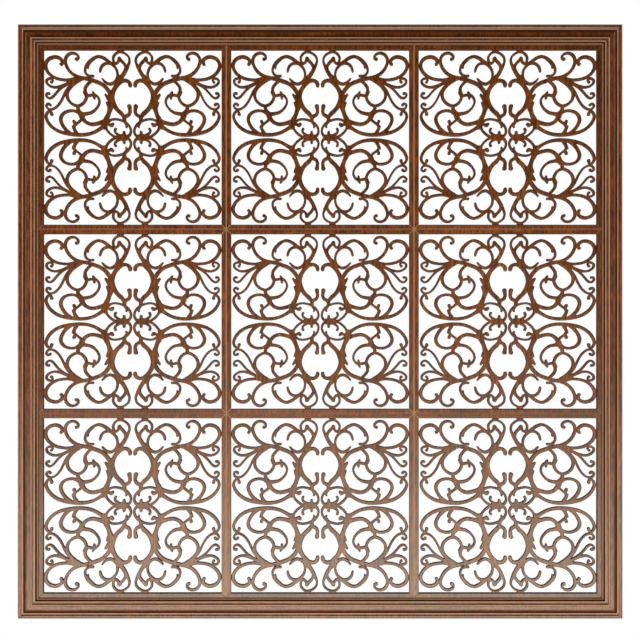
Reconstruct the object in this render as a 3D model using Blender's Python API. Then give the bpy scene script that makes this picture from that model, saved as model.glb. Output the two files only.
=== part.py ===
"""Carved openwork wooden panel: a moulded frame around three rows of three pierced scrollwork cells.

The front looks along -Y, +Z is up and +X is to the right. The origin is on the back of the top
moulding, half way along it, where the panel is fixed to a wall.
"""

import math

import bmesh
import bpy
from mathutils import Matrix, Vector
from mathutils.geometry import delaunay_2d_cdt

# Overall sizes, in metres
PANEL_WIDTH = 1.210
PANEL_HEIGHT = 1.189
COLUMNS = ("left", "centre", "right")
ROWS = ("top", "middle", "bottom")
JOINT_GAP = 0.0003

# The mitred moulding around the panel: how far in from its outer edge, and how far out from the back
MOULDING_WIDTH = 0.042
MOULDING_DEPTH = 0.030
OUTER_EDGE_DEPTH = 0.013
OUTER_BEAD_START = 0.0022
OUTER_BEAD_END = 0.0110
OUTER_BEAD_DEPTH = 0.016
OUTER_GROOVE_AT = 0.0126
BAND_START = 0.0164
BAND_START_DEPTH = 0.017
BAND_END = 0.0262
BAND_END_DEPTH = 0.0207
RIDGE_START = 0.0280
RIDGE_END = 0.0296
STEP_START = 0.0308
STEP_END = 0.0361
STEP_DEPTH = 0.0272
INNER_BEAD_START = 0.0382
INNER_BEAD_DEPTH = 0.022

# The mitred strips that border each cell
STRIP_WIDTH = 0.0095
STRIP_DEPTH = 0.018
STRIP_CHAMFER = 0.0012

# The pierced scrollwork, sawn from board in a left and a right half for each cell
SCROLL_THICKNESS = 0.011
SCROLL_SET_BACK = 0.0015

# The scroll pattern is drawn for one quarter of a cell, in millimetres from the cell's middle:
# outwards to the side, then outwards to the top or bottom. The quarter's sheet has this size.
SHEET_WIDTH = 178
SHEET_HEIGHT = 174

# Each point of a stroke's middle line is followed by the stroke's width there
LIGHT, MEDIUM, BROAD, HEAVY = 5.2, 6.4, 8.4, 14.5
CROWN = (56, 25, BROAD)
WAIST = (104, 47, MEDIUM)
BRANCH = (115, 114, MEDIUM)
ARCH_TOP = (84, 117, MEDIUM)
LOOP_SIDE = (92, 82, MEDIUM)
SPRING = (38, 147, LIGHT)
SCROLLS_MEET = (135, 151, MEDIUM)
STROKES = {
    "centre plate": ((7, 0, 10.0), (38, 0, 10.0)),
    "small loop": ((8, 0, LIGHT), (4, 15, LIGHT), (17, 33, LIGHT), CROWN),
    "small loop right": ((35, 0, LIGHT), CROWN),
    "stem and bottom loop": (
        CROWN, (46, 50, BROAD), (43, 68, HEAVY), (41, 90, HEAVY), (24, 115, BROAD),
        (7, 150, LIGHT), (23, 169, LIGHT), (38, 160, LIGHT), SPRING,
    ),
    "lower arc": ((46, 86, MEDIUM), (60, 108, MEDIUM), ARCH_TOP, BRANCH),
    "outer arc": (
        CROWN, (92, 6, MEDIUM), (142, 11, MEDIUM), (171, 40, MEDIUM), (165, 55, LIGHT), BRANCH,
    ),
    "inner arc and loop": (CROWN, (78, 26, MEDIUM), (106, 46, MEDIUM), (131, 80, MEDIUM), BRANCH),
    "curl": (WAIST, (74, 55, LIGHT), (67, 76, LIGHT), LOOP_SIDE),
    "loop left": (WAIST, LOOP_SIDE, ARCH_TOP),
    "corner scroll": (
        BRANCH, (150, 117, MEDIUM), (172, 141, BROAD), (154, 160, BROAD), SCROLLS_MEET,
    ),
    "bottom scroll": (BRANCH, SCROLLS_MEET, (130, 167, MEDIUM), (111, 164, LIGHT)),
    "arch": (ARCH_TOP, (96, 136, LIGHT), (68, 162, MEDIUM), SPRING),
    "foot": ((26, 166, 14.0), (26, 174, 14.0)),
}

# Colours as the finished wood shows them: linear red, green and blue
MOULDING_COLOUR = (0.115, 0.040, 0.020)
STRIP_COLOUR = (0.135, 0.048, 0.024)
SCROLL_COLOUR = (0.100, 0.034, 0.018)
WOOD_ROUGHNESS = 0.42

# Sizes worked out from those above
CELL_WIDTH = (PANEL_WIDTH - 2 * MOULDING_WIDTH) / len(COLUMNS)
CELL_HEIGHT = (PANEL_HEIGHT - 2 * MOULDING_WIDTH) / len(ROWS)
PANEL_MIDDLE_Z = (MOULDING_WIDTH - PANEL_HEIGHT) / 2
SCROLL_FRONT = STRIP_DEPTH - SCROLL_SET_BACK


def clear_scene():
    for obj in list(bpy.data.objects):
        bpy.data.objects.remove(obj, do_unlink=True)


def wood(name, colour):
    """A Principled material of one plain wood colour."""
    material = bpy.data.materials.new(name)
    material.use_nodes = True
    shader = material.node_tree.nodes["Principled BSDF"]
    shader.inputs["Base Color"].default_value = (*colour, 1.0)
    shader.inputs["Roughness"].default_value = WOOD_ROUGHNESS
    shader.inputs["Metallic"].default_value = 0.0
    return material


def add_object(name, bm, material, panel):
    """Turns a bmesh into an object of the panel, placed from the panel's middle."""
    bm.normal_update()
    bmesh.ops.recalc_face_normals(bm, faces=bm.faces)
    mesh = bpy.data.meshes.new(name)
    bm.to_mesh(mesh)
    bm.free()
    mesh.materials.append(material)
    obj = bpy.data.objects.new(name, mesh)
    obj.parent = panel
    panel.users_collection[0].objects.link(obj)
    return obj


def mitred_bar(section, length, side, middle):
    """A bar of one section whose ends are cut at 45 degrees.

    The section's points are (in from the outer edge, out from the back), and length is along the
    outer edge. The bar is made as a top one and then turned about the middle of what it borders,
    which is (x, z) with half its size towards the bar.
    """
    x, z, reach, turn = *middle, *side
    bm = bmesh.new()
    ring = [bm.verts.new((0, -out, reach - inwards)) for inwards, out in section]
    face = bm.faces.new(ring)
    grown = bmesh.ops.extrude_face_region(bm, geom=[face])["geom"]
    right_end = [item for item in grown if isinstance(item, bmesh.types.BMVert)]
    for verts, way in ((ring, -1), (right_end, 1)):
        for vert in verts:
            inwards = reach - vert.co.z
            vert.co.x = way * (length / 2 - inwards - JOINT_GAP / 2)
    bm.transform(Matrix.Translation((x, 0, z)) @ Matrix.Rotation(turn, 4, "Y"))
    return bm


def sides_of(width, height):
    """For each side of a rectangle: its name, its length, and (half the size towards it, the turn)."""
    return (
        ("top", width, (height / 2, 0.0)),
        ("right", height, (width / 2, math.pi / 2)),
        ("bottom", width, (height / 2, math.pi)),
        ("left", height, (width / 2, -math.pi / 2)),
    )


def moulding_section():
    """The frame's section: outer bead, groove, broad band, ridge, a step down and an inner bead."""
    inner_edge = MOULDING_WIDTH - JOINT_GAP / 2
    return (
        (0, 0),
        (0, OUTER_EDGE_DEPTH),
        (OUTER_BEAD_START, OUTER_BEAD_DEPTH),
        (OUTER_BEAD_END, OUTER_BEAD_DEPTH),
        (OUTER_GROOVE_AT, OUTER_EDGE_DEPTH),
        (BAND_START, BAND_START_DEPTH),
        (BAND_END, BAND_END_DEPTH),
        (RIDGE_START, MOULDING_DEPTH),
        (RIDGE_END, MOULDING_DEPTH),
        (STEP_START, STEP_DEPTH),
        (STEP_END, STEP_DEPTH),
        (INNER_BEAD_START, INNER_BEAD_DEPTH),
        (inner_edge, INNER_BEAD_DEPTH),
        (inner_edge, 0),
    )


def strip_section():
    """A flat strip with both front edges eased, clear of its neighbours by half a gap each side."""
    outer, inner = JOINT_GAP / 2, STRIP_WIDTH
    shoulder = STRIP_DEPTH - STRIP_CHAMFER
    return (
        (outer, 0),
        (outer, shoulder),
        (outer + STRIP_CHAMFER, STRIP_DEPTH),
        (inner - STRIP_CHAMFER, STRIP_DEPTH),
        (inner, shoulder),
        (inner, 0),
    )


def ribbon(stroke):
    """The outline of a stroke: its points moved half a width to each side, mitred at the bends."""
    points = [Vector(point[:2]) for point in stroke]
    left, right = [], []
    for i, (point, (_, _, width)) in enumerate(zip(points, stroke)):
        before = (point - points[i - 1]).normalized() if i else None
        after = (points[i + 1] - point).normalized() if i + 1 < len(points) else None
        before, after = before or after, after or before
        along = (before + after).normalized()
        across = Vector((-along.y, along.x)) * (width / 2 / along.dot(after))
        left.append(point + across)
        right.append(point - across)
    return left + right[::-1]


def scroll_outlines(way):
    """Every stroke of one half of a cell, as anticlockwise outlines in metres from its middle."""
    reach_x = CELL_WIDTH / 2 - STRIP_WIDTH - JOINT_GAP
    reach_z = CELL_HEIGHT / 2 - STRIP_WIDTH - JOINT_GAP
    for stroke in STROKES.values():
        for up in (1, -1):
            placed = [
                Vector((way * x / SHEET_WIDTH * reach_x, up * y / SHEET_HEIGHT * reach_z))
                for x, y in ribbon(stroke)
            ]
            # The ribbon runs clockwise as drawn, and each mirroring turns it round
            yield placed if way * up < 0 else placed[::-1]


def pierced_plate(outlines, x, z):
    """The area that any of the outlines covers, as one plate of the scrollwork's thickness."""
    corners, polygons = [], []
    for outline in outlines:
        polygons.append([len(corners) + i for i in range(len(outline))])
        corners.extend(outline)
    flat = delaunay_2d_cdt(corners, [], polygons, 0, 1e-7)
    points, triangles, covered_by = flat[0], flat[2], flat[5]
    bm = bmesh.new()
    verts = [bm.verts.new((x + point.x, -SCROLL_FRONT, z + point.y)) for point in points]
    for triangle, owners in zip(triangles, covered_by):
        if owners:
            bm.faces.new([verts[i] for i in triangle])
    loose = [vert for vert in bm.verts if not vert.link_faces]
    bmesh.ops.delete(bm, geom=loose, context="VERTS")
    bmesh.ops.dissolve_limit(bm, angle_limit=0.001, verts=bm.verts, edges=bm.edges)
    grown = bmesh.ops.extrude_face_region(bm, geom=bm.faces[:])["geom"]
    back = [item for item in grown if isinstance(item, bmesh.types.BMVert)]
    bmesh.ops.translate(bm, verts=back, vec=(0, SCROLL_THICKNESS, 0))
    return bm


def add_mouldings(panel):
    material = wood("moulding wood", MOULDING_COLOUR)
    for name, length, side in sides_of(PANEL_WIDTH, PANEL_HEIGHT):
        bar = mitred_bar(moulding_section(), length, side, (0, 0))
        add_object(f"moulding_{name}", bar, material, panel)


def add_cell(cell_name, x, z, materials, panel):
    """One cell: four mitred strips and the two halves of its scrollwork."""
    strip_wood, scroll_wood = materials
    for name, length, side in sides_of(CELL_WIDTH, CELL_HEIGHT):
        bar = mitred_bar(strip_section(), length, side, (x, z))
        add_object(f"strip_{cell_name}_{name}", bar, strip_wood, panel)
    for name, way in (("left", -1), ("right", 1)):
        plate = pierced_plate(scroll_outlines(way), x, z)
        add_object(f"scrolls_{cell_name}_{name}", plate, scroll_wood, panel)


def add_cells(panel):
    materials = wood("strip wood", STRIP_COLOUR), wood("scroll wood", SCROLL_COLOUR)
    for row, row_name in enumerate(ROWS):
        z = ((len(ROWS) - 1) / 2 - row) * CELL_HEIGHT
        for column, column_name in enumerate(COLUMNS):
            x = (column - (len(COLUMNS) - 1) / 2) * CELL_WIDTH
            add_cell(f"{row_name}_{column_name}", x, z, materials, panel)


def main():
    clear_scene()
    collection = bpy.data.collections.new("carved_panel")
    bpy.context.scene.collection.children.link(collection)
    panel = bpy.data.objects.new("panel_middle", None)
    panel.location.z = PANEL_MIDDLE_Z
    collection.objects.link(panel)
    add_mouldings(panel)
    add_cells(panel)


main()
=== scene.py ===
"""Dresses the carved openwork panel: fine scrollwork, mouldings and strips in stained, glazed wood with
painted shade and highlights.

The front looks along -Y, +Z is up and +X is to the right. The origin is on the back of the top
moulding, half way along it. Lengths are in metres, apart from the scroll pattern in millimetres.
"""

import logging
import math
from collections.abc import Iterator, Mapping, Sequence
from dataclasses import dataclass, field
from enum import Enum
from typing import ClassVar

import bmesh
import bpy
from bmesh.types import BMEdge, BMesh, BMLayerItem, BMVert
from bpy.types import Material
from mathutils import Matrix, Vector
from mathutils.geometry import convex_hull_2d, delaunay_2d_cdt
from mathutils.kdtree import KDTree


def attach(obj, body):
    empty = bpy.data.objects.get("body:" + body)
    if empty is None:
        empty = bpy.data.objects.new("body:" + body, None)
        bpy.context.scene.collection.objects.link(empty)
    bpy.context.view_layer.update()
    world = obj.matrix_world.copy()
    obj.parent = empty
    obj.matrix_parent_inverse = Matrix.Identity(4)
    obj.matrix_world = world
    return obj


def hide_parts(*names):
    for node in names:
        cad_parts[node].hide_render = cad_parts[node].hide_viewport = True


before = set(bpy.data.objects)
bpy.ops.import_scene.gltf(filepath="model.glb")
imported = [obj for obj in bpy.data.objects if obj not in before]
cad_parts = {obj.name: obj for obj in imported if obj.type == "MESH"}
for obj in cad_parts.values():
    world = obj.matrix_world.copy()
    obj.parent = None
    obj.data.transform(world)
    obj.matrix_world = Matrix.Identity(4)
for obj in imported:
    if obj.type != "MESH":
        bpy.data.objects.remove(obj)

Colour = tuple[float, float, float]

LOG = logging.getLogger("carved_panel")
MM: float = 0.001
COLUMNS: tuple[str, ...] = ("left", "centre", "right")
ROWS: tuple[str, ...] = ("top", "middle", "bottom")

# A face counts as flat where more than this share of its normal points along the depth. The
# scrollwork's fronts and backs are told from its walls by the lower share.
FLAT: float = 0.995
FRONT: float = 0.9
# Edges that turn by more than this are drawn sharp.
SHARP_ANGLE: float = math.radians(48)

# The sawn strokes are this much wider than their listed widths.
FULLNESS: float = 1.03
# A stroke's rounded cap has edge points at these turns from its side to its tip.
CAP_TURNS: tuple[float, ...] = (0.0, 0.5, 0.95, 1.3)
# A stroke's line is worked out in this many steps from point to point, and keeps those that turn by
# more than KEPT_TURN or lie more than KEPT_LENGTH millimetres from the one before.
LINE_STEPS: int = 8
KEPT_TURN: float = 0.13
KEPT_LENGTH: float = 7.0
SHORTEST_SPAN: float = 1e-3

# Corners of the flat board that are closer than WELD are one. Its outline then loses edges shorter
# than SHORT_EDGE and bends smaller than SLIGHT_BEND.
WELD: float = 1e-7
SHORT_EDGE: float = 0.00015
SLIGHT_BEND: float = 0.03
# Faces whose normal points back by more than TURNED are closed up, in at most UNFOLD_PASSES passes.
TURNED: float = 0.1
UNFOLD_PASSES: int = 8
# The scrollwork's corners with less glazing and painted shade than this are on its front.
FRONT_LIMIT: float = 0.5

# Multiples of this share, less their whole parts, spread evenly from 0 to 1.
GOLDEN_SHARE: float = 0.6180339887

RED_STAIN: dict[str, Colour] = {
    "dark": (0.070, 0.015, 0.001),
    "middle": (0.158, 0.036, 0.002),
    "light": (0.240, 0.070, 0.006),
}
ORANGE_STAIN: dict[str, Colour] = {
    "dark": (0.084, 0.020, 0.001),
    "middle": (0.186, 0.045, 0.002),
    "light": (0.270, 0.083, 0.006),
}

# The scroll pattern of one quarter of a cell. Each point of a stroke's middle line is (outwards from
# the cell's middle to the side, outwards to the top or bottom, the stroke's width there).
STROKES: dict[str, tuple[tuple[float, float, float], ...]] = {
    "centre plate": ((14, 0, 12.6), (24, 0, 13), (34, 0, 7)),
    "ear left": (
        (11, 1, 6), (6.2, 4.6, 5.6), (3.3, 11, 4.6), (4.5, 19, 4.6), (9.4, 26.4, 5), (16.4, 31.8, 5),
        (25, 35, 4.6), (35, 36.6, 4.4), (44, 34.8, 4.6), (52, 29, 6),
    ),
    "ear right": ((34, 0.5, 5), (42, 5, 5), (48.4, 11, 4.8), (52.4, 17, 4.8), (54, 24, 6)),
    "ear tooth": ((17, 3, 7), (17, 10.6, 5.2)),
    "ear curl": ((24, 3, 6), (30, 6, 5.4), (34.4, 10, 4.6), (35.4, 14, 4.6), (34, 16.8, 5.4)),
    "ear thorn": ((14.6, 30, 6), (11.6, 24, 5), (12.6, 20.4, 3.8)),
    "ear bud": ((52, 27, 5), (46.5, 25.6, 5.2), (42.4, 24.4, 7.4), (39.8, 26.6, 6)),
    "stem": (
        (57, 22, 12), (53.4, 35, 10.6), (48.8, 45, 8), (46, 54, 8.6), (43.6, 63, 12), (43, 72, 13.6),
        (43.8, 82, 14), (43.6, 88, 9),
    ),
    "stem upper tooth": ((46, 58, 7), (51, 69.2, 4.6)),
    "stem lower tooth": ((47, 75, 7.4), (53.8, 85.2, 4.8)),
    "lower arc": (
        (45.6, 89, 8), (52, 98.6, 8), (60, 105.8, 7.6), (68, 110, 7.8), (76, 112.6, 8),
        (84, 115.6, 7.4), (94, 118, 8),
    ),
    "lower leg": ((42, 80, 9.8), (40.6, 88, 9.8), (36.6, 97, 8), (30.4, 106, 9), (25, 113, 12)),
    "upper leg": (
        (16.2, 34, 7), (17.4, 41, 7), (22.8, 48.4, 8.6), (30.4, 55, 8), (36.6, 64, 9), (40.6, 73, 10.6),
        (42, 80, 9.8),
    ),
    "upper hook": (
        (16.6, 36, 6.4), (14.6, 41.4, 7), (8, 45.2, 6.6), (5.2, 51, 6.4), (5.6, 57.6, 6.8),
        (6.5, 62, 8.8),
    ),
    "lower hook": ((24, 113, 9), (13.6, 113.8, 7), (7.8, 111, 7.2), (5.2, 106.6, 7.8), (5, 103.6, 7)),
    "heart neck": ((30.4, 106, 9), (26, 114, 12), (23.4, 121.4, 8.4)),
    "round scroll": (
        (60.4, 117, 3.6), (56, 111.8, 5), (50, 107.8, 6), (44, 106.8, 6), (37.8, 109.2, 6),
        (32, 115.4, 5.6), (30.2, 122, 4.8), (30.4, 130, 4.8), (33.4, 138, 5), (38.6, 144, 5.6),
        (44, 147.6, 5.6), (50, 148.6, 5.6), (57, 146.6, 5.4), (62.4, 141, 5.4), (64.8, 134, 4.8),
        (65, 131.8, 4),
    ),
    "heart": (
        (23, 120, 8), (18, 127, 7.6), (13.4, 135.4, 7.4), (8.6, 145, 5.4), (6.2, 153, 4.4),
        (8.2, 161.4, 4.4), (16, 168.4, 4.4), (26, 171, 4.4), (33.4, 168, 4.6), (38.6, 160.6, 4.8),
        (38.4, 153, 4.8), (35.6, 147, 6),
    ),
    "heart left leaf": ((14, 134, 6), (14, 142, 6), (17.6, 148.4, 6), (22.4, 153, 6), (26.4, 158, 7)),
    "heart right leaf": ((38, 147.6, 6.4), (32, 148.4, 5), (28.4, 152.4, 5.2), (27.2, 158, 6)),
    "crown arc": (
        (57, 22, 9), (64, 18, 7), (72, 12.8, 6.4), (80, 9.2, 6.4), (88, 6.8, 6.6), (98, 5.4, 7),
        (110, 5.4, 7.4), (122, 6.6, 7.6), (134, 8.4, 7.2), (146, 11.6, 6.6), (156, 17, 6.6),
        (165, 24.8, 6.4), (171.2, 34.4, 6), (173.2, 42, 5.6), (171.4, 48.4, 5.2), (167.2, 53, 5),
    ),
    "crown bud": ((167, 53.6, 5), (163, 50.6, 4.8), (161.9, 46.4, 6.6)),
    "inner arc": (
        (122, 7, 7), (131.6, 13.6, 7), (140, 24.4, 6.6), (143.8, 35, 6.8), (142.2, 42.8, 6.6),
        (137.2, 48.8, 6), (130, 52.4, 5.6), (121, 53.6, 5.6), (113, 52, 5.6), (105, 46.6, 7),
    ),
    "twig": (
        (112.4, 8, 8.6), (115.8, 15, 6), (117.4, 20, 6), (115, 25.4, 5.4), (109, 29.6, 4.6),
        (104, 34, 5.4),
    ),
    "twig tooth": ((118, 18, 5), (119.8, 22.2, 3.4)),
    "twig bud": ((115, 26, 5), (117.2, 32, 6.4)),
    "waist arc": (
        (56, 32, 10), (63, 29.8, 7.8), (72, 27.4, 7.4), (80, 26.2, 7.2), (87, 27.4, 7), (94, 31.2, 7),
        (99, 37, 8),
    ),
    "waist": (
        (100.6, 36.4, 7.4), (101.2, 41, 11), (103.8, 47.6, 10.4), (108.6, 54.6, 7), (109.6, 60, 6.8),
    ),
    "curl": (
        (101, 46.4, 8), (92, 47.4, 6.6), (82, 50, 6), (74, 56, 4.8), (68.2, 64, 4.4), (66.2, 72, 4.4),
        (68.4, 79, 4.6), (73.6, 84, 5.4), (81, 84.8, 5.4), (91, 83, 5.8),
    ),
    "curl upper tooth": ((77, 84, 6), (76.6, 78, 4.4)),
    "curl lower tooth": ((75.4, 84, 6), (79.2, 90.6, 4)),
    "loop right": (
        (109, 62.4, 6), (117, 64.8, 5.8), (124, 69.4, 5.6), (129.2, 76.4, 5.8), (131.2, 85, 6.4),
        (129.2, 94, 6.6), (123, 102.4, 6.8), (115.4, 109.2, 6.8), (106, 114.6, 6),
    ),
    "loop left": (
        (109, 62.6, 6), (101.4, 66, 5.8), (95.6, 72, 5.8), (92.4, 80, 5.8), (93, 87, 6.6),
        (95, 93, 6.2), (94.6, 99, 6), (91, 105, 6), (85.4, 110.8, 5.6), (79, 115, 6),
    ),
    "loop tooth": ((94.4, 84.6, 4.6), (97.2, 90.6, 4.4)),
    "branch": ((92, 118.6, 6), (104, 117.8, 8.4), (113, 115.6, 11.6), (121, 112, 10.6)),
    "upper tendril": (
        (118, 108, 8), (126, 101.4, 6), (133, 92.6, 5.2), (136.6, 86, 4.6), (140, 78.4, 4.4),
        (145.6, 68.6, 4.4), (151.8, 61.4, 4.4), (158.4, 57.2, 4.4), (164.6, 56, 4.6),
        (169.8, 58.2, 4.4), (172.4, 63, 4.4), (170.8, 66.6, 4.2), (167.6, 67.4, 4.4), (165, 65.2, 5.8),
    ),
    "middle tendril": (
        (122, 111.6, 7), (130, 107.4, 5.6), (138, 102.6, 5), (145, 97.4, 4.6), (150.8, 91.4, 4.4),
        (156.2, 84.8, 4.6), (160.6, 80.4, 4.6), (165.6, 78.4, 4.6), (170.2, 80.2, 4.4),
        (172.6, 84, 4.4), (171.2, 87.8, 4.2), (167.6, 88, 5.8),
    ),
    "lower tendril": (
        (122, 112.4, 8), (130, 108, 5.6), (140, 103.6, 5.4), (149, 100.8, 5.2), (158, 100.4, 4.8),
        (166, 103.4, 4.8), (171.6, 109, 4.8), (171.8, 114.2, 4.6), (168, 117.4, 4.6), (161, 119, 5),
    ),
    "tendril bud": ((161, 118, 5), (160.2, 113.6, 4), (162.4, 110.6, 5.6)),
    "corner scroll": (
        (114, 117, 9), (127, 114.8, 6), (139, 115.4, 5.6), (151, 117.6, 5.8), (162.4, 123.6, 6),
        (170.2, 131.6, 6.4), (174.2, 142, 7), (172.2, 151.4, 6.8), (165, 158.4, 7), (154, 161, 7),
        (146, 158.6, 6.8), (140.6, 153.4, 5.8), (140, 149.2, 5), (142.8, 146.4, 6.4),
    ),
    "foot scroll": (
        (98, 118.8, 7), (108, 120.8, 6.8), (118.6, 126, 6.4), (127.4, 134.2, 6.2), (132.4, 143, 6),
        (134.8, 152, 6), (133, 160.4, 6), (127.4, 166.6, 5.8), (120, 168.8, 5.4), (113.2, 167, 5),
        (108.8, 162.2, 4.8), (109.2, 157.8, 5), (112.2, 156.6, 6.8),
    ),
    "scroll tie": ((135, 151.6, 7.4), (141.2, 152.8, 7)),
    "arch": (
        (84, 122.4, 4.6), (90.6, 125, 4.8), (94.8, 131, 4.6), (94.8, 137.6, 4.8), (92, 145, 5.4),
        (85.6, 152.6, 5.8), (76.8, 159.2, 5.8), (67, 161.8, 6), (57, 158.4, 6.6), (49, 152.4, 6.6),
        (40, 146, 6.6),
    ),
    "arch bud": ((86, 122.4, 5), (79.2, 122.8, 5.2)),
    "arch leaf": ((89.4, 139, 3.6), (89, 144.6, 4.6), (84.6, 151.4, 5.4), (77, 158, 5)),
}


class Grain(Enum):
    """The direction in which a piece's grain runs."""

    LEVEL = (1.0, 0.0, 0.0)
    UPRIGHT = (0.0, 0.0, 1.0)


class Value:
    """A shader socket that Python's operators work on, each adding its node to the tree."""

    def __init__(self, graph: "Graph", socket: bpy.types.NodeSocket) -> None:
        """Wraps a socket.

        Args:
            graph: The graph that new nodes go into.
            socket: The output that this value stands for.
        """
        self.graph = graph
        self.socket = socket

    def _maths(self, operation: str, first: object, second: object) -> "Value":
        """Adds a Math node and returns its result."""
        return self.graph.node("Math", {"operation": operation}, {0: first, 1: second})

    def __add__(self, other: object) -> "Value":
        """Returns self + other."""
        return self._maths("ADD", self, other)

    def __radd__(self, other: object) -> "Value":
        """Returns other + self."""
        return self._maths("ADD", other, self)

    def __sub__(self, other: object) -> "Value":
        """Returns self - other."""
        return self._maths("SUBTRACT", self, other)

    def __rsub__(self, other: object) -> "Value":
        """Returns other - self."""
        return self._maths("SUBTRACT", other, self)

    def __mul__(self, other: object) -> "Value":
        """Returns self * other."""
        return self._maths("MULTIPLY", self, other)

    def limited(self) -> "Value":
        """Returns the value held between 0 and 1."""
        return self.graph.node("Clamp", {}, {"Value": self})


@dataclass
class Graph:
    """A node tree that is filled one node at a time."""

    tree: bpy.types.NodeTree

    @classmethod
    def emptied(cls, owner: bpy.types.ID) -> "Graph":
        """Returns the emptied node tree of a material or a world."""
        owner.use_nodes = True
        owner.node_tree.nodes.clear()
        return cls(owner.node_tree)

    def node(
        self,
        kind: str,
        settings: Mapping[str, object],
        inputs: Mapping[int | str, object],
        output: int | str = 0,
    ) -> Value:
        """Adds a node.

        Args:
            kind: The node's type name after ShaderNode.
            settings: Its properties, set first; stops is a colour ramp's (place, colour) pairs.
            inputs: Numbers, colours or other values for its sockets.
            output: The output to return.

        Returns:
            The chosen output as a value.
        """
        node = self.tree.nodes.new(f"ShaderNode{kind}")
        for name, setting in settings.items():
            if name == "stops":
                self._set_stops(node.color_ramp, setting)
            else:
                setattr(node, name, setting)
        for name, given in inputs.items():
            if isinstance(given, Value):
                self.tree.links.new(given.socket, node.inputs[name])
            else:
                node.inputs[name].default_value = given
        return Value(self, node.outputs[output]) if node.outputs else Value(self, node.inputs[0])

    @staticmethod
    def _set_stops(ramp: bpy.types.ColorRamp, stops: Sequence[tuple[float, Sequence[float]]]) -> None:
        """Gives a colour ramp its stops."""
        for i, (place, colour) in enumerate(stops):
            stop = ramp.elements[i] if i < 2 else ramp.elements.new(place)
            stop.position, stop.color = place, (*colour, 1.0)

    def mixed(self, share: object, first: object, second: object, blend: str = "MIX") -> Value:
        """Mixes two colours.

        Args:
            share: How much of the second colour shows, from 0 to 1.
            first: A colour.
            second: A colour.
            blend: The Mix node's blend type.

        Returns:
            The mixed colour.
        """
        settings = {"data_type": "RGBA", "blend_type": blend}
        return self.node("Mix", settings, {0: share, 6: first, 7: second}, 2)

    def surface(self, inputs: Mapping[str, object]) -> None:
        """Gives a material a Principled surface with these inputs."""
        shader = self.node("BsdfPrincipled", {}, inputs)
        self.node("OutputMaterial", {}, {"Surface": shader})

    def attribute(self, name: str) -> Value:
        """Returns a number that the mesh holds at each vertex."""
        return self.node("Attribute", {"attribute_name": name}, {}, "Fac")

    def noise(
        self,
        place: Value,
        grain: Grain,
        scale: float,
        stretch: float,
        detail: float,
        roughness: float = 0.55,
    ) -> Value:
        """Adds soft noise that is drawn out along the grain.

        Args:
            place: The coordinates that it reads.
            grain: The direction in which it is drawn out.
            scale: Its repeats per metre across the grain.
            stretch: Its repeats along the grain, as a share of those across it.
            detail: How many finer layers it has.
            roughness: How strong the finer layers are.

        Returns:
            The noise, from 0 to 1.
        """
        factors = [scale * (stretch if along else 1.0) for along in grain.value]
        stretched = self.node("Mapping", {}, {"Vector": place, "Scale": factors})
        inputs = {"Vector": stretched, "Scale": 1.0, "Detail": detail, "Roughness": roughness}
        return self.node("TexNoise", {}, inputs, "Fac")


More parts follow.
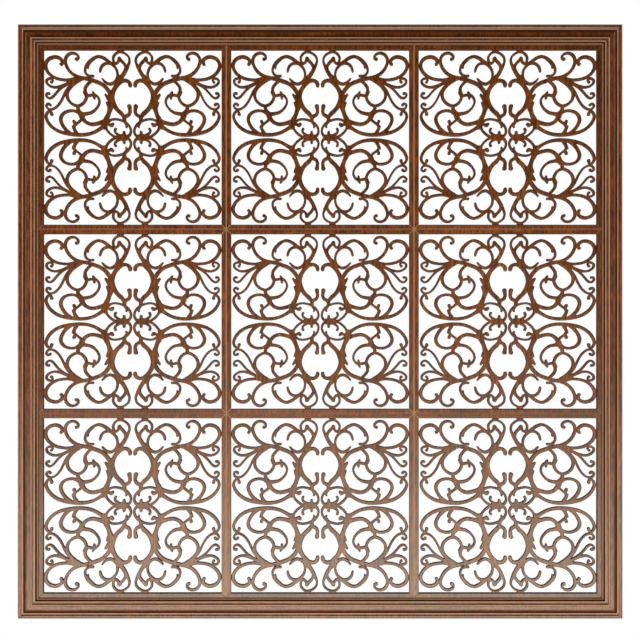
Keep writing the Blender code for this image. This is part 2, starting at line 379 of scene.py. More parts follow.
@dataclass(frozen=True)
class WoodFinish:
    """Stained wood with a thin lacquer, glazing and painted shade in hollows, painted highlights on
    rubbed edges.

    Colours are linear red, green and blue. Scales are in repeats per metre.
    """

    name: str
    grain: Grain
    dark: Colour
    middle: Colour
    light: Colour
    red_patch: Colour = (0.165, 0.030, 0.008)
    olive_patch: Colour = (0.105, 0.050, 0.008)
    # Painted highlight: this pale colour is rubbed wood and also the pale surroundings reflected on
    # edges.
    wear_and_highlight_colour: Colour = (0.540, 0.310, 0.190)
    # Painted shade: this dark colour is glazing and also the shade in grooves, on walls and beside the
    # frame.
    glaze_and_shade_colour: Colour = (0.036, 0.007, 0.0012)
    fleck_tints: tuple[tuple[float, Colour], ...] = (
        (0.37, (0.58, 0.43, 0.35)),
        (0.50, (1.0, 1.0, 1.0)),
        (0.64, (1.38, 1.54, 1.60)),
    )
    roughness: float = 0.30
    coat: float = 0.06
    coat_roughness: float = 0.25
    streak_scale: float = 170.0
    streak_stretch: float = 0.055
    fleck_scale: float = 330.0
    fleck_stretch: float = 0.16
    pore_scale: float = 900.0
    pore_stretch: float = 0.035
    patch_scale: float = 30.0
    patch_stretch: float = 0.55
    smudge_scale: float = 70.0
    smudge_stretch: float = 0.5
    relief: float = 0.0001

    def material(self) -> Material:
        """Builds the finish as a node material.

        Returns:
            The material, which reads Object coordinates, tone, glazing with painted shade and rubbing
            with painted highlights.
        """
        made = bpy.data.materials.new(self.name)
        graph = Graph.emptied(made)
        tone, glaze_and_shade, wear_and_highlight = (graph.attribute(name) for name in ("tone", "glaze_and_shade", "wear_and_highlight"))
        place = self._place(graph, tone)
        streaks = graph.noise(place, self.grain, self.streak_scale, self.streak_stretch, 3.0)
        pores = graph.noise(place, self.grain, self.pore_scale, self.pore_stretch, 2.0, 0.6)
        patches = graph.noise(place, self.grain, self.patch_scale, self.patch_stretch, 2.5)
        smudge = graph.noise(place, self.grain, self.smudge_scale, self.smudge_stretch, 3.0, 0.65)
        pore_mask = ((0.42 - pores) * 6.0).limited()
        colour = self._stained(graph, place, streaks, patches)
        colour = graph.mixed(pore_mask * 0.45, colour, (*self.glaze_and_shade_colour, 1.0))
        colour = self._shaded(graph, colour, tone)
        # Painted shade: glazing that also darkens grooves, walls, edges and strips beside the frame as
        # shade would.
        glaze_and_shade_share = (glaze_and_shade * (0.70 + smudge * 0.30)).limited()
        colour = graph.mixed(glaze_and_shade_share * 0.92, colour, (*self.glaze_and_shade_colour, 1.0))
        # Painted highlight: rubbed edges that also stand in for pale reflections on beads, seams and
        # mitres.
        wear_and_highlight_share = (wear_and_highlight * (0.62 + smudge * 0.5)).limited()
        colour = graph.mixed(wear_and_highlight_share, colour, (*self.wear_and_highlight_colour, 1.0))
        dullness = ((glaze_and_shade - 0.40) * 1.7).limited()
        rough = self.roughness - 0.06 + streaks * 0.10 + dullness * 0.50 + pore_mask * 0.10
        height = streaks * 0.5 - pore_mask * 0.6 + smudge * 0.25
        bump = {"Strength": 0.5, "Distance": self.relief, "Height": height}
        graph.surface(
            {
                "Base Color": colour,
                "Roughness": rough.limited(),
                "Normal": graph.node("Bump", {}, bump, "Normal"),
                "Coat Weight": (1.0 - dullness) * self.coat,
                "Coat Roughness": self.coat_roughness,
            }
        )
        return made

    @staticmethod
    def _place(graph: Graph, tone: Value) -> Value:
        """Returns Object coordinates, shifted by the tone so that no two pieces share their grain."""
        place = graph.node("TexCoord", {}, {}, "Object")
        along = {"X": tone * 3.1, "Y": tone * 1.7, "Z": tone * 2.3}
        shift = graph.node("CombineXYZ", {}, along)
        return graph.node("VectorMath", {"operation": "ADD"}, {0: place, 1: shift})

    def _stained(self, graph: Graph, place: Value, streaks: Value, patches: Value) -> Value:
        """Colours the bare wood.

        Args:
            graph: The graph that the nodes go into.
            place: The coordinates that the flecks read.
            streaks: The noise drawn out along the grain.
            patches: The broad noise that reddens some places and turns others olive.

        Returns:
            The stained wood's colour.
        """
        stops = [(0.30, self.dark), (0.52, self.middle), (0.74, self.light)]
        grain = (streaks * 0.54 + patches * 0.46).limited()
        colour = graph.node("ValToRGB", {"stops": stops}, {"Fac": grain}, "Color")
        redness = ((patches - 0.50) * 4.0).limited() * 0.60
        colour = graph.mixed(redness, colour, (*self.red_patch, 1.0))
        greenness = ((0.47 - patches) * 4.0).limited() * 0.55
        colour = graph.mixed(greenness, colour, (*self.olive_patch, 1.0))
        flecks = graph.noise(place, Grain.UPRIGHT, self.fleck_scale, self.fleck_stretch, 2.0, 0.5)
        tint = graph.node("ValToRGB", {"stops": self.fleck_tints}, {"Fac": flecks}, "Color")
        return graph.mixed(1.0, colour, tint, "MULTIPLY")

    @staticmethod
    def _shaded(graph: Graph, colour: Value, tone: Value) -> Value:
        """Returns the colour, a little darker or lighter by the piece's tone."""
        brightness = 0.88 + tone * 0.24
        tint = graph.node("CombineColor", {}, {0: brightness, 1: brightness, 2: brightness})
        return graph.mixed(1.0, colour, tint, "MULTIPLY")


@dataclass(frozen=True)
class SectionPoint:
    """A point of a bar's section, with its glazing and painted shade and its rubbing and painted
    highlight.
    """

    inwards: float
    out: float
    glaze_and_shade: float = 0.0
    wear_and_highlight: float = 0.0


def new_object(name: str, data: bpy.types.ID) -> bpy.types.Object:
    """Adds an object that shows the data to the scene."""
    made = bpy.data.objects.new(name, data)
    bpy.context.scene.collection.objects.link(made)
    return made


def new_piece(name: str, bm: BMesh, material: Material, tone: float) -> None:
    """Turns a bmesh into a piece that rides on the panel and replaces the solid of the same name.

    Args:
        name: The solid's name; the piece is named after it.
        bm: The finished shape, which is freed.
        material: Its finish.
        tone: A number from 0 to 1 that sets this piece's shade and its place in the grain.
    """
    layer = bm.verts.layers.float.get("tone") or bm.verts.layers.float.new("tone")
    for vert in bm.verts:
        vert[layer] = tone
    mesh = bpy.data.meshes.new(f"{name}_shape")
    smooth = [face.smooth for face in bm.faces]
    bm.to_mesh(mesh)
    bm.free()
    mesh.set_sharp_from_angle(angle=SHARP_ANGLE)
    mesh.polygons.foreach_set("use_smooth", smooth)
    mesh.materials.append(material)
    piece = new_object(f"carved_{name}", mesh)
    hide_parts(name)
    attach(piece, "root")
    LOG.info("%s: %d faces", piece.name, len(mesh.polygons))


def sides_of(width: float, height: float) -> Iterator[tuple[str, float, float, float, Grain]]:
    """Yields the name, length, reach from the middle, turn and grain of each side of a rectangle."""
    yield "top", width, height / 2, 0.0, Grain.LEVEL
    yield "right", height, width / 2, math.pi / 2, Grain.UPRIGHT
    yield "bottom", width, height / 2, math.pi, Grain.LEVEL
    yield "left", height, width / 2, -math.pi / 2, Grain.UPRIGHT


@dataclass
class MitredBars:
    """Bars of one section for the sides of a rectangle, cut at 45 degrees where they meet.

    The bars stand joint_gap apart. From mitre_ease behind each mitre their front edges drop by
    mitre_drop, and mitre_wear_and_highlight sets their rubbing and painted highlight there, left end
    and right. The front edges are the corners within at_mitre of a mitre that lie further out than
    back_depth.
    """

    section: Sequence[SectionPoint]
    joint_gap: float = 0.00002
    mitre_ease: float = 0.0006
    mitre_wear_and_highlight: tuple[float, float] = (0.0, 0.0)
    mitre_drop: float = 0.00015
    at_mitre: ClassVar[float] = 0.0002
    back_depth: ClassVar[float] = 0.001

    def bar(self, length: float, reach: float, turn: float, middle: Vector) -> BMesh:
        """Makes one bar.

        Args:
            length: Along its outer edge.
            reach: From the rectangle's middle to that edge.
            turn: About the middle, from the top bar's place.
            middle: The rectangle's middle, at the back.

        Returns:
            The bar's shape in its place.
        """
        bm = bmesh.new()
        glaze_and_shade, wear_and_highlight = (bm.verts.layers.float.new(name) for name in ("glaze_and_shade", "wear_and_highlight"))
        ring = []
        for point in self.section:
            vert = bm.verts.new((-length / 2, -point.out, reach - point.inwards))
            vert[glaze_and_shade], vert[wear_and_highlight] = point.glaze_and_shade, point.wear_and_highlight
            ring.append(vert)
        grown = bmesh.ops.extrude_face_region(bm, geom=[bm.faces.new(ring)])["geom"]
        far_end = [item for item in grown if isinstance(item, BMVert)]
        bmesh.ops.translate(bm, verts=far_end, vec=(length, 0, 0))
        for way in (-1, 1):
            corner = Vector((way * (length - self.joint_gap) / 2, 0, reach))
            slope = Vector((way, 0, -1)).normalized()
            self._cut_end(bm, corner, slope)
        bm.normal_update()
        bmesh.ops.recalc_face_normals(bm, faces=bm.faces)
        self._ease_mitres(bm, length, reach, wear_and_highlight)
        for face in bm.faces:
            face.smooth = abs(face.normal.y) < FLAT
        bm.transform(Matrix.Translation(middle) @ Matrix.Rotation(turn, 4, "Y"))
        return bm

    def _cut_end(self, bm: BMesh, corner: Vector, slope: Vector) -> None:
        """Cuts an end off along the mitre, closes it, and adds an edge loop just behind it.

        Args:
            bm: The bar, which still lies level.
            corner: The mitre's outer corner.
            slope: The way out of the bar, square to the mitre.
        """
        geom = [*bm.verts, *bm.edges, *bm.faces]
        cut = bmesh.ops.bisect_plane(bm, geom=geom, plane_co=corner, plane_no=slope, clear_outer=True)
        rim = [item for item in cut["geom_cut"] if isinstance(item, BMEdge)]
        bmesh.ops.contextual_create(bm, geom=rim)
        geom = [*bm.verts, *bm.edges, *bm.faces]
        behind = corner - slope * self.mitre_ease
        bmesh.ops.bisect_plane(bm, geom=geom, plane_co=behind, plane_no=slope)

    def _ease_mitres(
        self, bm: BMesh, length: float, reach: float, wear_and_highlight: BMLayerItem
    ) -> None:
        """Drops the front edges of both mitred ends a little and paints rubbing and a highlight on
        them.

        Args:
            bm: The bar, which still lies level.
            length: Along its outer edge.
            reach: From the rectangle's middle to that edge.
            wear_and_highlight: The layer that holds each vertex's rubbing and painted highlight.
        """
        for vert in bm.verts:
            from_mitre = (length - self.joint_gap) / 2 - abs(vert.co.x) - (reach - vert.co.z)
            if abs(from_mitre) < self.at_mitre and vert.co.y < -self.back_depth:
                vert.co.y += self.mitre_drop
                end = 1 if vert.co.x > 0 else 0
                vert[wear_and_highlight] = max(vert[wear_and_highlight], self.mitre_wear_and_highlight[end])


@dataclass
class PanelFrame:
    """The moulded frame around the panel."""

    width: float = 1.210
    height: float = 1.189
    moulding_width: float = 0.042
    joint_gap: float = 0.00004
    clearance: float = 0.00001

    @property
    def middle(self) -> Vector:
        """The panel's middle, at the back."""
        return Vector((0, 0, (self.moulding_width - self.height) / 2))

    def section(self) -> list[SectionPoint]:
        """Returns the moulding's section, from the panel's edge inwards.

        Returns:
            Points whose glaze and wear are 0 where their lines don't give them.
        """
        inner = (self.moulding_width - self.joint_gap / 2 - self.clearance) / MM
        # Each line is (inwards, out, glazing and painted shade, rubbing and painted highlight) in
        # millimetres.
        outer_bead = (
            (0.0, 0.0), (0.0, 12.4, 0.6), (0.3, 13.6, 0.3, 0.1), (1.0, 14.8, 0.1, 0.4),
            (2.0, 15.6, 0.0, 0.25), (3.2, 15.9), (5.6, 15.9), (7.6, 15.6, 0.1), (8.4, 15.3, 0.3),
            (8.9, 15.6, 0.1, 0.3), (9.5, 16.0, 0.0, 1.0), (10.5, 16.0, 0.0, 0.9),
            (11.0, 15.5, 0.2, 0.2),
        )
        # Painted shade lies in the grooves and on the inner wall; painted highlights lie on the beads,
        # ridge and step.
        groove = ((11.6, 14.0, 0.8), (12.4, 13.2, 0.9), (13.6, 13.6, 0.9))
        band = (
            (14.6, 15.6, 0.8), (15.4, 17.6, 0.55), (16.6, 18.8, 0.3), (18.4, 19.4, 0.1),
            (21.6, 19.6), (25.6, 19.8),
        )
        ridge = (
            (26.3, 20.4, 0.15), (26.6, 22.6, 0.3, 0.1), (27.2, 26.0, 0.05, 0.5),
            (27.7, 28.8, 0.0, 0.8), (28.3, 29.8, 0.0, 0.95), (29.0, 30.0, 0.0, 0.8),
            (29.6, 29.8, 0.0, 0.3), (30.2, 28.9, 0.1),
        )
        step = (
            (30.7, 27.8, 0.25), (31.2, 27.3, 0.1), (33.2, 27.1, 0.05), (34.0, 27.1, 0.1, 0.2),
            (34.7, 27.5, 0.0, 1.0), (35.7, 27.4, 0.0, 0.9), (36.2, 26.7, 0.3, 0.1),
        )
        inner_groove = ((36.6, 23.5, 0.9), (37.0, 20.8, 1.0), (37.8, 19.9, 1.0), (38.7, 20.2, 0.9))
        inner_bead = (
            (39.2, 21.2, 0.2, 0.4), (39.9, 22.0, 0.0, 0.8), (40.7, 21.9, 0.0, 0.6),
            (41.3, 21.2, 0.4, 0.1), (inner, 19.6, 0.9), (inner, 0.0),
        )
        points = (*outer_bead, *groove, *band, *ridge, *step, *inner_groove, *inner_bead)
        return [SectionPoint(x * MM, out * MM, *looks) for x, out, *looks in points]

    def build(self, woods: Mapping[Grain, Material]) -> None:
        """Builds and dresses the four mouldings.

        Args:
            woods: The moulding wood for each direction of the grain.
        """
        width, height = self.width - 2 * self.clearance, self.height - 2 * self.clearance
        bars = MitredBars(self.section(), mitre_ease=0.0004, mitre_drop=0.0001)
        for i, (name, length, reach, turn, grain) in enumerate(sides_of(width, height)):
            bm = bars.bar(length, reach, turn, self.middle)
            new_piece(f"moulding_{name}", bm, woods[grain], shade_of(i))


@dataclass
class Cell:
    """One opening of the panel: its border of four strips and its two halves of scrollwork.

    Strips beside the frame carry a painted shadow of the moulding and less rubbing and painted
    highlight than those along the bars. The boards of the centre column carry painted shade and are
    darker than the others.
    """

    name: str
    middle: Vector
    number: int
    width: float
    height: float
    strip_width: float = 0.0095
    strip_depth: float = 0.018
    joint_gap: float = 0.00004
    # Painted highlight on the seams, partly rubbing: stronger on upright strips, which the side light
    # falls on.
    seam_highlight_by_grain: ClassVar[Mapping[Grain, float]] = {Grain.LEVEL: 0.35, Grain.UPRIGHT: 1.0}
    # Pale mitres: rubbing and a painted highlight, less of both where a strip beside the frame meets
    # them.
    bar_mitre_wear_and_highlight: ClassVar[float] = 0.9
    # Painted shadow of the moulding on strips beside the frame, with less rubbing and highlight on
    # their seams.
    moulding_shadow: ClassVar[float] = 0.30
    frame_seam_wear_and_highlight: ClassVar[float] = 0.2
    frame_mitre_wear_and_highlight: ClassVar[float] = 0.15
    # Painted light: the side columns' boards are lighter than the centre's, as the side light falls.
    column_light: ClassVar[Mapping[str, float]] = {"left": 0.45, "centre": 0.0, "right": 0.40}
    board_shade_spread: ClassVar[float] = 0.25
    first_strip: ClassVar[int] = 4
    first_board: ClassVar[int] = 40

    def strip_section(self, stain: float, seam_wear_and_highlight: float) -> list[SectionPoint]:
        """Returns the strip's section, which has painted shade along the opening.

        Args:
            stain: The least glazing and painted shade anywhere across it, from 0 to 1; the moulding's
                painted shadow.
            seam_wear_and_highlight: How pale its seam is, with rubbing and a painted highlight, from 0
                to 1.

        Returns:
            The section's points.
        """
        seam, opening = self.joint_gap / 2 / MM, self.strip_width / MM
        front = self.strip_depth / MM
        # The pale seam: rubbing and a painted highlight, with a little painted shade in its groove.
        pale_seam = (
            (seam, 0.0, 0.0, 0.0), (seam, front - 1.0, 0.5, 0.4), (seam + 0.1, front - 0.45, 0.0, 0.9),
            (seam + 0.4, front - 0.12, 0.0, 1.0), (seam + 0.9, front, 0.0, 0.5),
        )
        flat = ((seam + 1.3, front, 0.0, 0.0), (opening - 1.4, front, 0.0, 0.0))
        # Painted shade along the opening's edge.
        shaded_edge = (
            (opening - 0.7, front - 0.05, 0.5, 0.0), (opening - 0.2, front - 0.3, 0.9, 0.0),
            (opening, front - 0.8, 1.0, 0.0), (opening, 0.0, 0.8, 0.0),
        )
        return [
            SectionPoint(x * MM, out * MM, max(glaze_and_shade, stain), wear_and_highlight * seam_wear_and_highlight)
            for x, out, glaze_and_shade, wear_and_highlight in (*pale_seam, *flat, *shaded_edge)
        ]

    def build_strips(self, woods: Mapping[Grain, Material]) -> None:
        """Builds and dresses the four strips.

        Args:
            woods: The strip wood for each direction of the grain.
        """
        sides = list(sides_of(self.width, self.height))
        beside_frame = [name in self.name.split("_") for name, *_ in sides]
        for i, (name, length, reach, turn, grain) in enumerate(sides):
            neighbours = (beside_frame[i - 1], beside_frame[(i + 1) % len(sides)])
            # Pale mitres: rubbing and a painted highlight, less of both at a strip beside the frame.
            mitre_wear_and_highlight = tuple(
                self.frame_mitre_wear_and_highlight if beside_frame[i] or shaded else self.bar_mitre_wear_and_highlight
                for shaded in neighbours
            )
            # Painted shadow of the moulding on strips beside the frame, with less rubbing and highlight
            # there.
            stain = self.moulding_shadow if beside_frame[i] else 0.0
            seam_wear_and_highlight = self.frame_seam_wear_and_highlight if beside_frame[i] else self.seam_highlight_by_grain[grain]
            bars = MitredBars(self.strip_section(stain, seam_wear_and_highlight), mitre_ease=0.0008, mitre_wear_and_highlight=mitre_wear_and_highlight)
            bm = bars.bar(length, reach, turn, self.middle)
            tone = shade_of(self.first_strip + self.number * len(sides) + i)
            new_piece(f"strip_{self.name}_{name}", bm, woods[grain], tone)

    def build_scrolls(self, half: "ScrollHalf", wood: Material) -> None:
        """Places the two halves of scrollwork, the left one mirrored.

        Args:
            half: The carved right half about its cell's middle.
            wood: The scrollwork's finish.
        """
        column = self.name.split("_")[1]
        halves = (("left", -1), ("right", 1))
        for i, (name, way) in enumerate(halves):
            bm = half.copy(way)
            bmesh.ops.translate(bm, verts=bm.verts, vec=self.middle)
            number = self.first_board + self.number * len(halves) + i
            # Painted light: the side columns' boards are lighter, as the side light falls; the spread
            # is a random tone.
            tone = self.column_light[column] + self.board_shade_spread * shade_of(number)
            new_piece(f"scrolls_{self.name}_{name}", bm, wood, tone)


@dataclass
class ScrollHalf:
    """The right half of a cell's scrollwork: sawn strokes with carved, rounded front edges.

    Each of the edge_steps goes inwards and out by its first two lengths, in metres, and leaves its
    share of glazing and painted shade. The sheet that the pattern fills, the neck's sides and ends,
    and the widths between which the strokes' fronts lose the painted shade of thin_stroke_shade are in
    the pattern's millimetres.
    """

    reach_x: float
    reach_z: float
    sheet: tuple[float, float] = (178.0, 174.5)
    front: float = 0.0165
    thickness: float = 0.011
    edge_steps: tuple[tuple[float, float, float], ...] = (
        (0.00050, 0.00036, 1.0),
        (0.00095, 0.00014, 0.16),
    )
    neck: tuple[float, float, float, float] = (18.0, 31.0, 171.0, 174.5)
    thin_width: float = 4.4
    wide_width: float = 7.4
    thin_stroke_shade: float = 0.36
    least_area: float = 1e-9
    plain: BMesh | None = field(default=None, repr=False)

    @property
    def scales(self) -> tuple[float, float]:
        """The pattern's scale across and up, in metres for each of its millimetres."""
        return self.reach_x / self.sheet[0], self.reach_z / self.sheet[1]

    def quads(self) -> Iterator[list[Vector]]:
        """Yields the flat pieces that the strokes of one quarter cover, in millimetres."""
        for points in STROKES.values():
            columns = capped(smooth_line(points))
            for (left, right), (next_left, next_right) in zip(columns, columns[1:]):
                yield [right, next_right, next_left, left]
        x0, x1, y0, y1 = self.neck
        yield [Vector(corner) for corner in ((x0, y0), (x1, y0), (x1, y1), (x0, y1))]

    def outlines(self) -> Iterator[list[Vector]]:
        """Yields the flat pieces of both quarters as anticlockwise outlines in metres."""
        scale_x, scale_z = self.scales
        for quad in self.quads():
            for up in (1, -1):
                placed = [Vector((point.x * scale_x, point.y * scale_z * up)) for point in quad]
                placed = [placed[i] for i in convex_hull_2d(placed)]
                if signed_area(placed) > self.least_area:
                    yield placed

    def carve(self) -> None:
        """Unites the outlines, gives them their thickness and rounds the front edges."""
        shoulder = self.front - sum(drop for _, drop, _ in self.edge_steps)
        bm = self._flat_board(-shoulder)
        self._refill(bm)
        self._thicken(bm, shoulder - (self.front - self.thickness))
        self._round_front(bm)
        self._unfold(bm, shoulder)
        self._shade_thin_strokes(bm)
        self.plain = bm
        LOG.info("scroll half: %d faces", len(bm.faces))

    def _flat_board(self, level: float) -> BMesh:
        """Returns the flat shape that the outlines cover together, at a level along Y."""
        corners: list[Vector] = []
        polygons: list[list[int]] = []
        for outline in self.outlines():
            polygons.append([len(corners) + i for i in range(len(outline))])
            corners.extend(outline)
        flat = delaunay_2d_cdt(corners, [], polygons, 0, WELD)
        bm = bmesh.new()
        for name in ("glaze_and_shade", "wear_and_highlight"):
            bm.verts.layers.float.new(name)
        verts = [bm.verts.new((point.x, level, point.y)) for point in flat[0]]
        for triangle, owners in zip(flat[2], flat[5]):
            if owners:
                bm.faces.new([verts[i] for i in triangle])
        loose = [vert for vert in bm.verts if not vert.link_faces]
        bmesh.ops.delete(bm, geom=loose, context="VERTS")
        return bm

    @staticmethod
    def _refill(bm: BMesh) -> None:
        """Clears the flat board to its outlines and fills them again with few triangles."""
        bmesh.ops.delete(bm, geom=bm.faces[:], context="FACES_KEEP_BOUNDARY")
        bmesh.ops.remove_doubles(bm, verts=bm.verts, dist=SHORT_EDGE)
        bmesh.ops.dissolve_limit(bm, angle_limit=SLIGHT_BEND, verts=bm.verts, edges=bm.edges)
        corners = list({vert: None for edge in bm.edges for vert in edge.verts})
        number = {vert: i for i, vert in enumerate(corners)}
        places = [Vector((vert.co.x, vert.co.z)) for vert in corners]
        pairs = [(number[edge.verts[0]], number[edge.verts[1]]) for edge in bm.edges]
        flat = delaunay_2d_cdt(places, pairs, [], 0, WELD)
        walls = {frozenset(pair) for pair, came_from in zip(flat[1], flat[4]) if came_from}
        level = corners[0].co.y
        verts = [
            corners[came_from[0]] if came_from else bm.verts.new((place.x, level, place.y))
            for place, came_from in zip(flat[0], flat[3])
        ]
        for triangle in enclosed(flat[2], walls):
            bm.faces.new([verts[i] for i in triangle])

    @staticmethod
    def _thicken(bm: BMesh, depth: float) -> None:
        """Extrudes the flat board backwards by a depth and paints glazing and shade all over it."""
        bmesh.ops.recalc_face_normals(bm, faces=bm.faces)
        grown = bmesh.ops.extrude_face_region(bm, geom=bm.faces[:])["geom"]
        back = [item for item in grown if isinstance(item, BMVert)]
        bmesh.ops.translate(bm, verts=back, vec=(0, depth, 0))
        bm.normal_update()
        bmesh.ops.recalc_face_normals(bm, faces=bm.faces)
        glaze_and_shade = bm.verts.layers.float["glaze_and_shade"]
        for vert in bm.verts:
            vert[glaze_and_shade] = 1.0
        for face in bm.faces:
            face.smooth = abs(face.normal.y) < FRONT

    def _round_front(self, bm: BMesh) -> None:
        """Rounds the front edges step by step and leaves less glazing and painted shade on the front.
        """
        glaze_and_shade = bm.verts.layers.float["glaze_and_shade"]
        front_faces = [face for face in bm.faces if face.normal.y < -FRONT]
        for inwards, drop, left in self.edge_steps:
            rim = bmesh.ops.inset_region(
                bm, faces=front_faces, thickness=inwards, depth=drop, use_boundary=False
            )["faces"]
            for face in rim:
                face.smooth = True
            for face in front_faces:
                for vert in face.verts:
                    vert[glaze_and_shade] = left

    def _shade_thin_strokes(self, bm: BMesh) -> None:
        """Paints more shade on the fronts of thin strokes and tips than on wide ones."""
        scale_x, scale_z = self.scales
        places = [place for points in STROKES.values() for place in smooth_line(points)]
        nearby = KDTree(len(places))
        for i, place in enumerate(places):
            nearby.insert((place.x * scale_x, 0.0, place.y * scale_z), i)
        nearby.balance()
        glaze_and_shade = bm.verts.layers.float["glaze_and_shade"]
        for vert in bm.verts:
            if vert[glaze_and_shade] < FRONT_LIMIT:
                width = places[nearby.find((vert.co.x, 0.0, abs(vert.co.z)))[1]].z
                thinness = (self.wide_width - width) / (self.wide_width - self.thin_width)
                vert[glaze_and_shade] += self.thin_stroke_shade * min(max(thinness, 0.0), 1.0)

    @staticmethod
    def _unfold(bm: BMesh, shoulder: float) -> None:
        """Closes up the tiny faces that an inset has turned over in a tight corner.

        Args:
            bm: The carved half.
            shoulder: How far out the rounding of the front edges starts.
        """
        for _ in range(UNFOLD_PASSES):
            bm.normal_update()
            turned = [
                face
                for face in bm.faces
                if face.normal.y > TURNED and face.calc_center_median().y < -shoulder
            ]
            if not turned:
                return
            shortest = {min(face.edges, key=BMEdge.calc_length): None for face in turned}
            bmesh.ops.collapse(bm, edges=list(shortest), uvs=False)

    def copy(self, way: int) -> BMesh:
        """Returns a copy of the carved half, mirrored left to right where way is -1."""
        bm = self.plain.copy()
        if way < 0:
            bmesh.ops.scale(bm, verts=bm.verts, vec=(-1, 1, 1))
            bmesh.ops.reverse_faces(bm, faces=bm.faces)
        return bm


def enclosed(triangles: Sequence[Sequence[int]], walls: set[frozenset[int]]) -> list[Sequence[int]]:
    """Picks the triangles that lie inside an outline with holes.

    Args:
        triangles: Corner numbers of a triangulation that reaches the convex hull.
        walls: The outline's edges, as pairs of corner numbers.

    Returns:
        The triangles that an odd number of walls parts from the outside.
    """
    sides = [[frozenset((a, b)), frozenset((b, c)), frozenset((c, a))] for a, b, c in triangles]
    beside: dict[frozenset[int], list[int]] = {}
    for i, own_sides in enumerate(sides):
        for side in own_sides:
            beside.setdefault(side, []).append(i)
    inside = {found[0]: side in walls for side, found in beside.items() if len(found) == 1}
    waiting = list(inside)
    while waiting:
        i = waiting.pop()
        for side in sides[i]:
            for j in beside[side]:
                if j not in inside:
                    inside[j] = inside[i] != (side in walls)
                    waiting.append(j)
    return [triangles[i] for i in sorted(inside) if inside[i]]


def signed_area(outline: Sequence[Vector]) -> float:
    """Returns an outline's area, above 0 where it runs anticlockwise."""
    return sum(a.x * b.y - b.x * a.y for a, b in zip(outline, (*outline[1:], outline[0]))) / 2


def smooth_line(points: Sequence[tuple[float, float, float]]) -> list[Vector]:
    """Draws a smooth line through a stroke's points, with few points where it is straight.

    Args:
        points: The stroke's (x, y, width) points.

    Returns:
        Vectors of x, y and width along the line.
    """
    knots = [Vector(point) for point in points]
    if len(knots) == 2:
        return knots
    knots = [2 * knots[0] - knots[1], *knots, 2 * knots[-1] - knots[-2]]
    line = [knots[1]]
    for four in zip(knots, knots[1:], knots[2:], knots[3:]):
        line += [between(four, step / LINE_STEPS) for step in range(1, LINE_STEPS + 1)]
    kept = [line[0]]
    for point, following in zip(line[1:], line[2:]):
        here, ahead = (point - kept[-1]).to_2d(), (following - point).to_2d()
        turned = abs(here.angle_signed(ahead, 0.0)) if here.length and ahead.length else 0.0
        if turned > KEPT_TURN or here.length > KEPT_LENGTH:
            kept.append(point)
    return [*kept, line[-1]]


def between(knots: Sequence[Vector], share: float) -> Vector:
    """Works out a point of the centripetal curve through four knots.

    Args:
        knots: The four knots, as vectors of x, y and width.
        share: How far the point lies from the second knot to the third, from 0 to 1.

    Returns:
        The point, as a vector of x, y and width.
    """
    times = [0.0]
    for here, following in zip(knots, knots[1:]):
        span = max(math.sqrt((following - here).to_2d().length), SHORTEST_SPAN)
        times.append(times[-1] + span)
    before, start, end, after = knots
    t0, t1, t2, t3 = times
    at = t1 + (t2 - t1) * share
    a = before.lerp(start, (at - t0) / (t1 - t0))
    b = start.lerp(end, (at - t1) / (t2 - t1))
    c = end.lerp(after, (at - t2) / (t3 - t2))
    d = a.lerp(b, (at - t0) / (t2 - t0))
    e = b.lerp(c, (at - t1) / (t3 - t1))
    return d.lerp(e, (at - t1) / (t2 - t1))


def capped(line: Sequence[Vector]) -> list[tuple[Vector, Vector]]:
    """Widens a line into pairs of edge points, with a rounded cap at each end.

    Args:
        line: Vectors of x, y and width.

    Returns:
        The left and right edge points at each place along the stroke.
    """
    columns = []
    last = len(line) - 1
    turns_at = {0: [-turn for turn in reversed(CAP_TURNS)], last: CAP_TURNS}
    for i, point in enumerate(line):
        along = (line[min(i + 1, last)] - line[max(i - 1, 0)]).to_2d().normalized()
        across = Vector((-along.y, along.x))
        middle, half = point.to_2d(), point.z * FULLNESS / 2
        for turn in turns_at.get(i, (0.0,)):
            at, reach = middle + along * half * math.sin(turn), half * math.cos(turn)
            columns.append((at + across * reach, at - across * reach))
    return columns


def shade_of(number: int) -> float:
    """Returns a piece's shade from 0 to 1, spread evenly over the numbers."""
    return number * GOLDEN_SHARE % 1.0


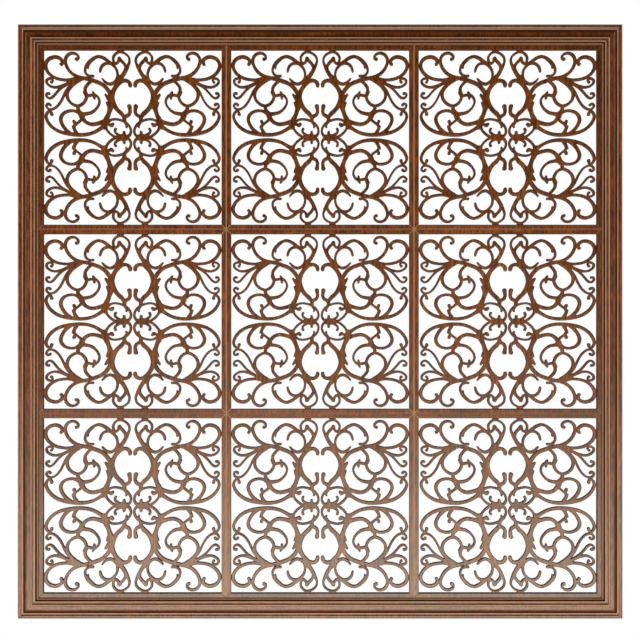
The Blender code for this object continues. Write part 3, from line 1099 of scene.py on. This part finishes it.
@dataclass
class Studio:
    """A pale floor, a low light, white surroundings and the camera.

    The camera's picture is frame_width wide at the scrollwork's front. The camera stands aside and
    up from the panel's middle by camera_shift.
    """

    middle: Vector
    distance: float = 4.5
    frame_width: float = 1.2795
    scroll_front: float = 0.0165
    camera_shift: tuple[float, float] = (-0.0003, 0.003)
    sensor: float = 36.0
    farthest: float = 50.0
    floor_drop: float = 1.90
    floor_size: float = 14.0
    floor_colour: Colour = (0.86, 0.85, 0.84)
    floor_roughness: float = 0.6
    light_distance: float = 3.0
    light_drop: float = 1.11
    light_size: tuple[float, float] = (3.6, 0.90)
    light_power: float = 92.0
    light_colour: Colour = (0.90, 0.90, 0.74)
    faint_glow: float = 0.20
    side_glow: float = 1.7
    low_glow: float = 2.4
    front_dimming: float = 0.88

    def build(self) -> None:
        """Builds the floor, the light, the surroundings and the camera."""
        self._floor()
        self._low_light()
        self._surroundings()
        self._camera()

    def _floor(self) -> None:
        """Builds the plain pale floor under the panel."""
        bm = bmesh.new()
        bmesh.ops.create_grid(bm, x_segments=1, y_segments=1, size=self.floor_size / 2)
        bmesh.ops.translate(bm, verts=bm.verts, vec=(0, 0, self.middle.z - self.floor_drop))
        mesh = bpy.data.meshes.new("floor_shape")
        bm.to_mesh(mesh)
        bm.free()
        floor = new_object("floor", mesh)
        pale = bpy.data.materials.new("pale floor")
        look = {"Base Color": (*self.floor_colour, 1.0), "Roughness": self.floor_roughness}
        Graph.emptied(pale).surface(look)
        mesh.materials.append(pale)

    def _low_light(self) -> None:
        """Adds a wide, low light that the lacquer of the panel's lower third reflects."""
        data = bpy.data.lights.new("low front light", "AREA")
        data.shape, data.size, data.size_y = "RECTANGLE", *self.light_size
        data.energy, data.color = self.light_power, self.light_colour
        light = new_object("low front light", data)
        light.location = (0.0, -self.light_distance, self.middle.z - self.light_drop)
        light.rotation_euler = Vector((0.0, 1.0, 0.0)).to_track_quat("-Z", "Z").to_euler()
        light.visible_camera = False

    def _surroundings(self) -> None:
        """Makes white surroundings, brightest beside and below and dim in front of the panel."""
        world = bpy.data.worlds.new("studio")
        bpy.context.scene.world = world
        graph = Graph.emptied(world)
        direction = graph.node("TexCoord", {}, {}, "Generated")
        x, y, z = (
            graph.node("SeparateXYZ", {}, {"Vector": direction}, axis)
            for axis in ("X", "Y", "Z")
        )
        beside = ((x * x - 0.25) * 3.0).limited()
        below = ((-0.35 - z) * 2.5).limited()
        ahead = ((-0.35 - y) * 2.5).limited()
        glow = self.faint_glow + beside * self.side_glow + below * self.low_glow
        strength = glow * (1.0 - ahead * self.front_dimming)
        warm, white = (1.0, 0.97, 0.94, 1.0), (1.0, 1.0, 1.0, 1.0)
        lit = graph.node("Background", {}, {"Color": warm, "Strength": strength})
        seen = graph.node("Background", {}, {"Color": white, "Strength": 1.0})
        to_camera = graph.node("LightPath", {}, {}, "Is Camera Ray")
        both = graph.node("MixShader", {}, {0: to_camera, 1: lit, 2: seen})
        graph.node("OutputWorld", {}, {"Surface": both})

    def _camera(self) -> None:
        """Places the camera straight in front of the panel."""
        data = bpy.data.cameras.new("camera")
        data.sensor_width = self.sensor
        data.lens = self.sensor * (self.distance - self.scroll_front) / self.frame_width
        data.clip_end = self.farthest
        camera = new_object("camera", data)
        aside, up = self.camera_shift
        camera.location = (aside, -self.distance, self.middle.z + up)
        camera.rotation_euler = (math.pi / 2, 0.0, 0.0)
        bpy.context.scene.camera = camera


def woods_of(name: str, stain: Mapping[str, Sequence[float]]) -> dict[Grain, Material]:
    """Returns a stained wood for each direction of the grain."""
    finishes = [WoodFinish(f"{name} {grain.name.lower()}", grain, **stain) for grain in Grain]
    return {finish.grain: finish.material() for finish in finishes}


def build_cells(panel: PanelFrame) -> None:
    """Builds the strips and the scrollwork of every cell, row by row.

    Args:
        panel: The frame around the cells.
    """
    strip_woods = woods_of("strip wood", RED_STAIN)
    scroll_wood = WoodFinish("scroll wood", Grain.UPRIGHT, **ORANGE_STAIN).material()
    width = (panel.width - 2 * panel.moulding_width) / len(COLUMNS)
    height = (panel.height - 2 * panel.moulding_width) / len(ROWS)
    border = Cell.strip_width + Cell.joint_gap
    half = ScrollHalf(width / 2 - border, height / 2 - border)
    half.carve()
    for row, row_name in enumerate(ROWS):
        for column, column_name in enumerate(COLUMNS):
            middle = panel.middle + Vector(((column - 1) * width, 0, (1 - row) * height))
            number = row * len(COLUMNS) + column
            cell = Cell(f"{row_name}_{column_name}", middle, number, width, height)
            cell.build_strips(strip_woods)
            cell.build_scrolls(half, scroll_wood)
    half.plain.free()


def main() -> None:
    """Builds the panel's pieces in order, then the studio."""
    logging.basicConfig(level=logging.INFO, format="%(name)s: %(message)s")
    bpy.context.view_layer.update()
    bpy.context.scene.view_settings.view_transform = "Standard"
    panel = PanelFrame()
    panel.build(woods_of("moulding wood", RED_STAIN))
    build_cells(panel)
    Studio(panel.middle).build()


if __name__ == "__main__":
    main()
